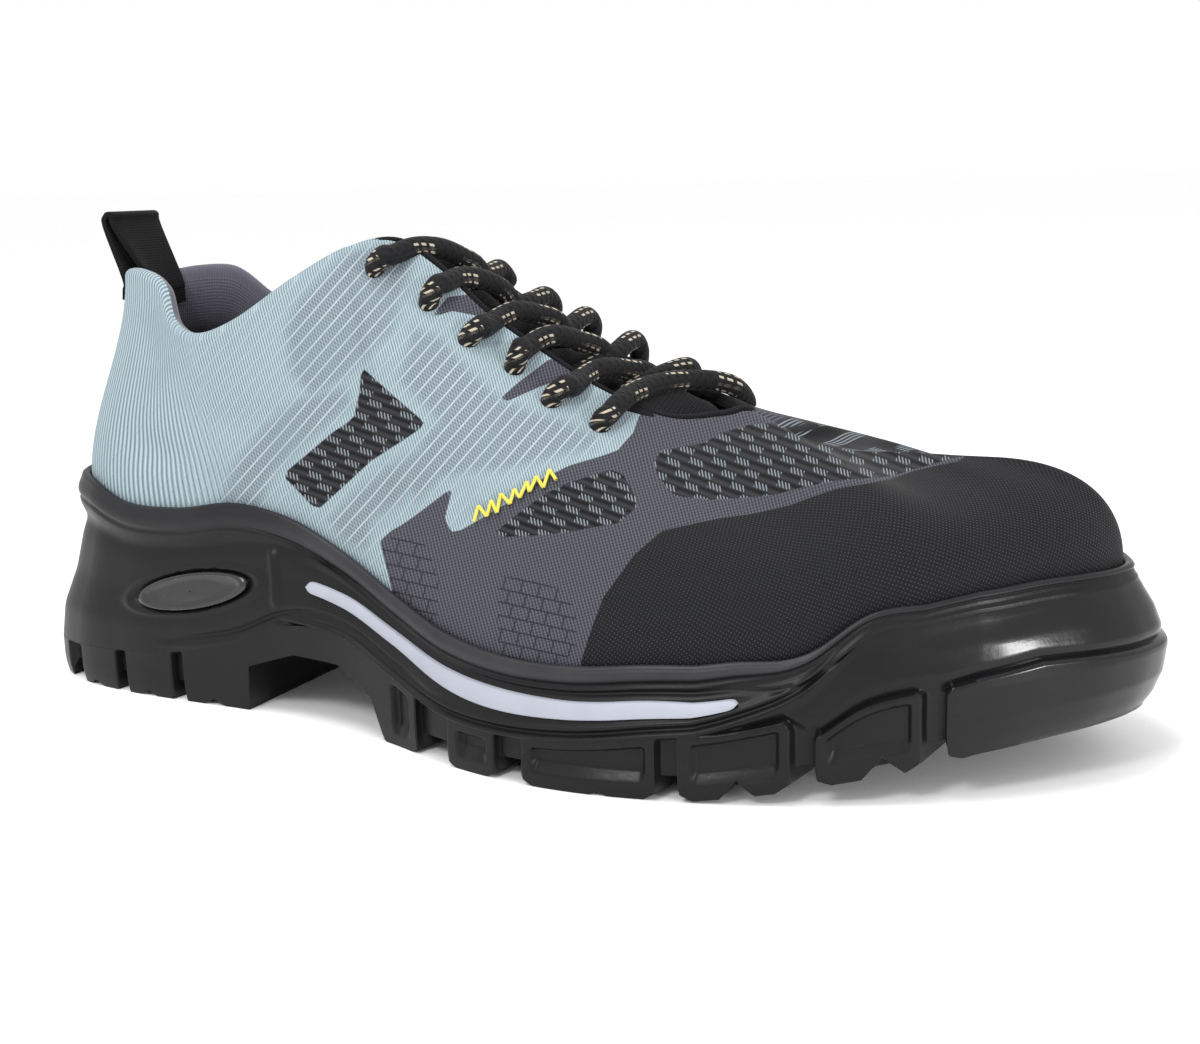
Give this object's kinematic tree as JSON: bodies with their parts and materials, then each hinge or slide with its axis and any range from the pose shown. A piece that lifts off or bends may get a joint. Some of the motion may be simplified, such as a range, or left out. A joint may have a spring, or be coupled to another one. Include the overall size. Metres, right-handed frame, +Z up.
{
  "type": "safety sneaker",
  "caption": "Low-cut right-foot safety sneaker: light blue and charcoal knitted upper, black cup sole with glossy toe guard, light stripe, cord laces and a heel pull loop",
  "frame": {"origin": "on the floor under the middle of the heel", "axes": "+X from heel to toe, +Y towards the inner (medial) side of the foot, +Z up"},
  "size_m": [0.3016, 0.113, 0.1285],
  "materials": {
    "outsole_rubber": "semi-matte moulded rubber, glossy on the toe guard",
    "midsole_rubber": "semi-matte foamed rubber with a polished rim",
    "stripe_plastic": "light lilac-grey inlay, satin",
    "badge_plastic": "bare oval pad, slightly glossy",
    "upper_knit": "light blue engineered knit with charcoal panels",
    "tongue_fabric": "black padded textile",
    "insole_fabric": "dark textile over foam",
    "lace_cord": "round braided cord, black with cream flecks",
    "loop_webbing": "black woven webbing"
  },
  "bodies": {
    "root": {"outsole": "outsole_rubber", "midsole": "midsole_rubber", "stripe_lateral": "stripe_plastic", "stripe_medial": "stripe_plastic", "badge_lateral": "badge_plastic", "badge_medial": "badge_plastic", "upper": "upper_knit", "tongue": "tongue_fabric", "insole": "insole_fabric", "lace_crossing_1": "lace_cord", "lace_crossing_2": "lace_cord", "lace_crossing_3": "lace_cord", "lace_crossing_4": "lace_cord", "lace_crossing_5": "lace_cord", "lace_bar": "lace_cord", "pull_loop": "loop_webbing"}
  },
  "joints": []
}
